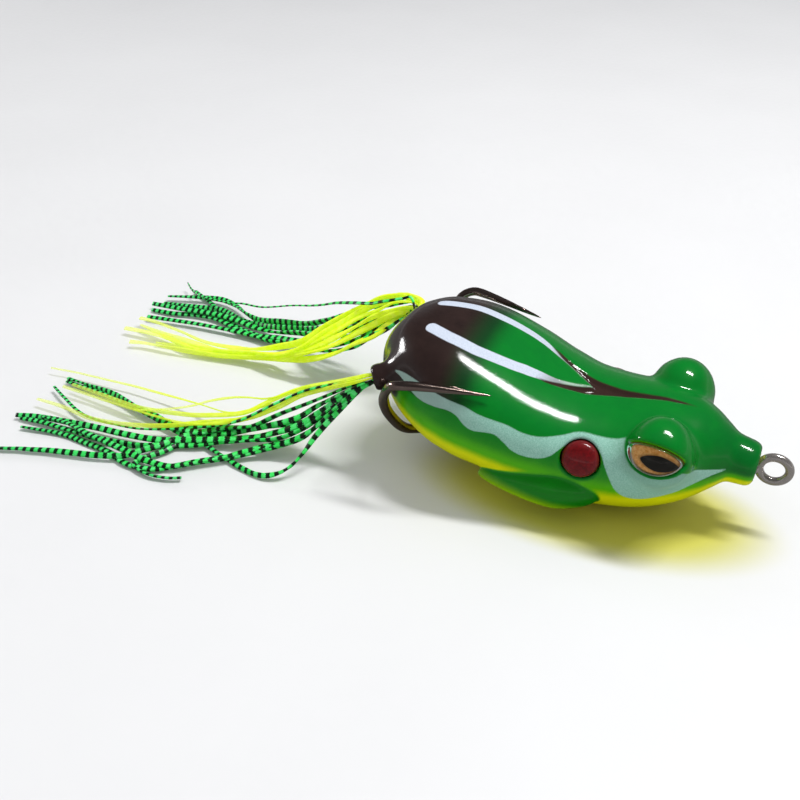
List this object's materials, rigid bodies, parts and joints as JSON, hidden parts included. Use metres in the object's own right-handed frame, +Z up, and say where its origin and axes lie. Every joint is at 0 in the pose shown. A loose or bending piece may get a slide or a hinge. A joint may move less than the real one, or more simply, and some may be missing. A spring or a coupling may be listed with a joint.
{
  "type": "topwater popper lure",
  "caption": "Hollow-bodied frog topwater popper: soft painted body, double hook lying along the flanks, line-tie ring at the snout, inner keel weight and trailing silicone skirts.",
  "frame": {"origin": "middle of the flat on the belly that the lure rests on, on the ground plane", "axes": "+X towards the nose and line tie, +Y to the lure's left, +Z up, with the lure lying at rest"},
  "size_m": [0.1342, 0.064, 0.0265],
  "materials": {
    "body_pvc": "soft PVC, airbrushed green over chartreuse with a clear gloss coat",
    "black_nickel": "black nickel plating",
    "keel_lead": "as cast",
    "iris_gold": "printed metallic gold with a black pupil",
    "clear_resin": "clear resin",
    "ear_red": "gloss dark red",
    "plug_rubber": "moulded",
    "silicone_green": "printed silicone, green with black bars",
    "silicone_chartreuse": "translucent chartreuse silicone"
  },
  "bodies": {
    "lure_body": {"body_shell": "body_pvc", "eye_iris_left": "iris_gold", "eye_iris_right": "iris_gold", "eye_lens_left": "clear_resin", "eye_lens_right": "clear_resin", "ear_bead_left": "ear_red", "ear_bead_right": "ear_red"},
    "hook": {"double_hook": "black_nickel", "keel_weight": "keel_lead"},
    "skirt_root_left": {"skirt_plug_left": "plug_rubber"},
    "skirt_left": {"strand_left_a": "silicone_chartreuse", "strand_left_b": "silicone_chartreuse", "strand_left_c": "silicone_chartreuse", "strand_left_d": "silicone_green", "strand_left_e": "silicone_green", "strand_left_f": "silicone_green", "strand_left_g": "silicone_green", "strand_left_h": "silicone_green", "strand_left_i": "silicone_chartreuse"},
    "skirt_root_right": {"skirt_plug_right": "plug_rubber"},
    "skirt_right": {"strand_right_a": "silicone_chartreuse", "strand_right_b": "silicone_green", "strand_right_c": "silicone_chartreuse", "strand_right_d": "silicone_green", "strand_right_e": "silicone_green", "strand_right_f": "silicone_green", "strand_right_g": "silicone_green", "strand_right_h": "silicone_green", "strand_right_i": "silicone_green"}
  },
  "joints": [
    {"name": "hook_slide", "type": "slide", "parent": "lure_body", "child": "hook", "axis": [0.9933, 0, 0.1159], "range_m": [-0.0003, 0.0012]},
    {"name": "skirt_left_sweep", "type": "hinge", "parent": "lure_body", "child": "skirt_root_left", "pos_m": [-0.03594, 0.00938, 0.01669], "axis": [0, 0, -1], "range_deg": [-3, 20]},
    {"name": "skirt_left_lift", "type": "hinge", "parent": "skirt_root_left", "child": "skirt_left", "pos_m": [-0.03594, 0.00938, 0.01669], "axis": [0, 1, 0], "range_deg": [0, 20]},
    {"name": "skirt_right_sweep", "type": "hinge", "parent": "lure_body", "child": "skirt_root_right", "pos_m": [-0.03594, -0.00938, 0.01669], "axis": [0, 0, 1], "range_deg": [-3, 20]},
    {"name": "skirt_right_lift", "type": "hinge", "parent": "skirt_root_right", "child": "skirt_right", "pos_m": [-0.03594, -0.00938, 0.01669], "axis": [0, 1, 0], "range_deg": [0, 20]}
  ]
}
